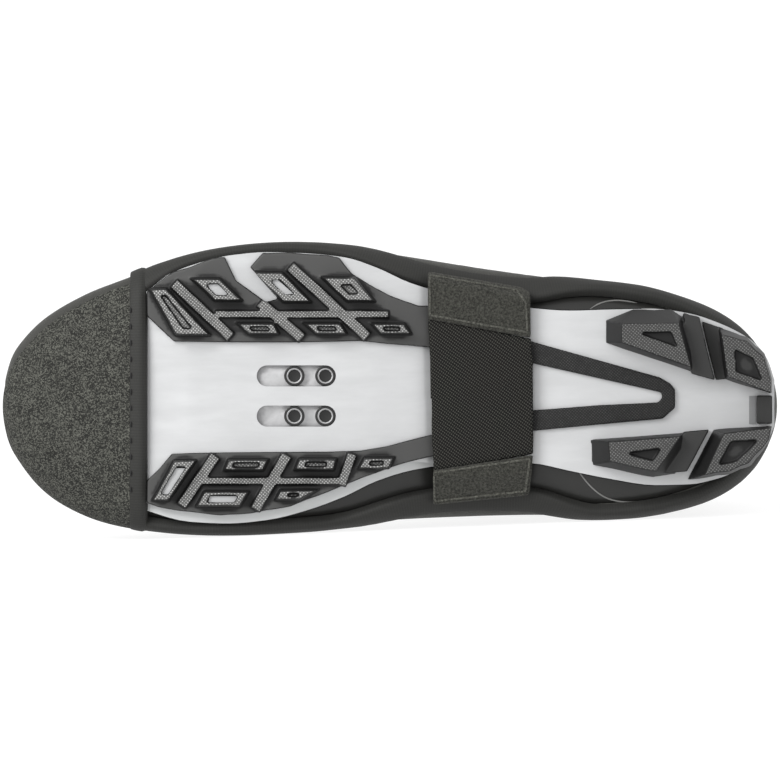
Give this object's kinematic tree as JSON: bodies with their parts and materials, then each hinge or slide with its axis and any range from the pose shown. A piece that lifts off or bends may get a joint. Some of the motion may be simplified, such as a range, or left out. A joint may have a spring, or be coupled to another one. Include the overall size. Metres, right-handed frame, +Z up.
{
  "type": "cycling overshoe",
  "caption": "Ankle-high neoprene cycling overshoe on an off-road cycling shoe, with a fabric toe cap, an open underside, an elastic arch strap and a lugged sole.",
  "frame": {"origin": "middle of the footprint of the shoe as it lies on its inner side, on the floor", "axes": "+X from toe to heel, +Y from the sole towards the cuff, +Z up, which is the outer side of the foot"},
  "size_m": [0.2802, 0.1544, 0.1042],
  "materials": {
    "neoprene": "matt black fabric-faced neoprene",
    "cap_fabric": "coarse speckled abrasion-proof fabric",
    "tape": "black stretch binding tape",
    "elastic": "black ribbed elastic webbing",
    "hook_and_loop": "fuzzy black loop fabric",
    "synthetic_leather": "glossy black synthetic leather",
    "foam": "matt grey fabric-topped foam",
    "midsole_grey": "satin light grey",
    "plate_silver": "satin silver",
    "steel": "dark threaded steel",
    "tread_rubber": "black rubber, textured on the lug faces",
    "heel_rubber": "black rubber, textured on the lug faces"
  },
  "bodies": {
    "root": {"overshoe_shell": "neoprene", "toe_cap": "cap_fabric", "hem_binding": "tape", "cuff_binding": "tape", "strap_elastic": "elastic", "strap_tab_lateral": "hook_and_loop", "strap_tab_medial": "hook_and_loop", "shoe_upper": "synthetic_leather", "insole": "foam", "midsole": "midsole_grey", "outsole_plate": "plate_silver", "cleat_nut_plate": "steel", "forefoot_tread_lateral": "tread_rubber", "forefoot_tread_medial": "tread_rubber", "arch_insert": "tread_rubber", "heel_lug_lateral_front": "heel_rubber", "heel_lug_lateral_rear": "heel_rubber", "heel_lug_medial_front": "heel_rubber", "heel_lug_medial_rear": "heel_rubber", "heel_bumper": "heel_rubber"}
  },
  "joints": []
}
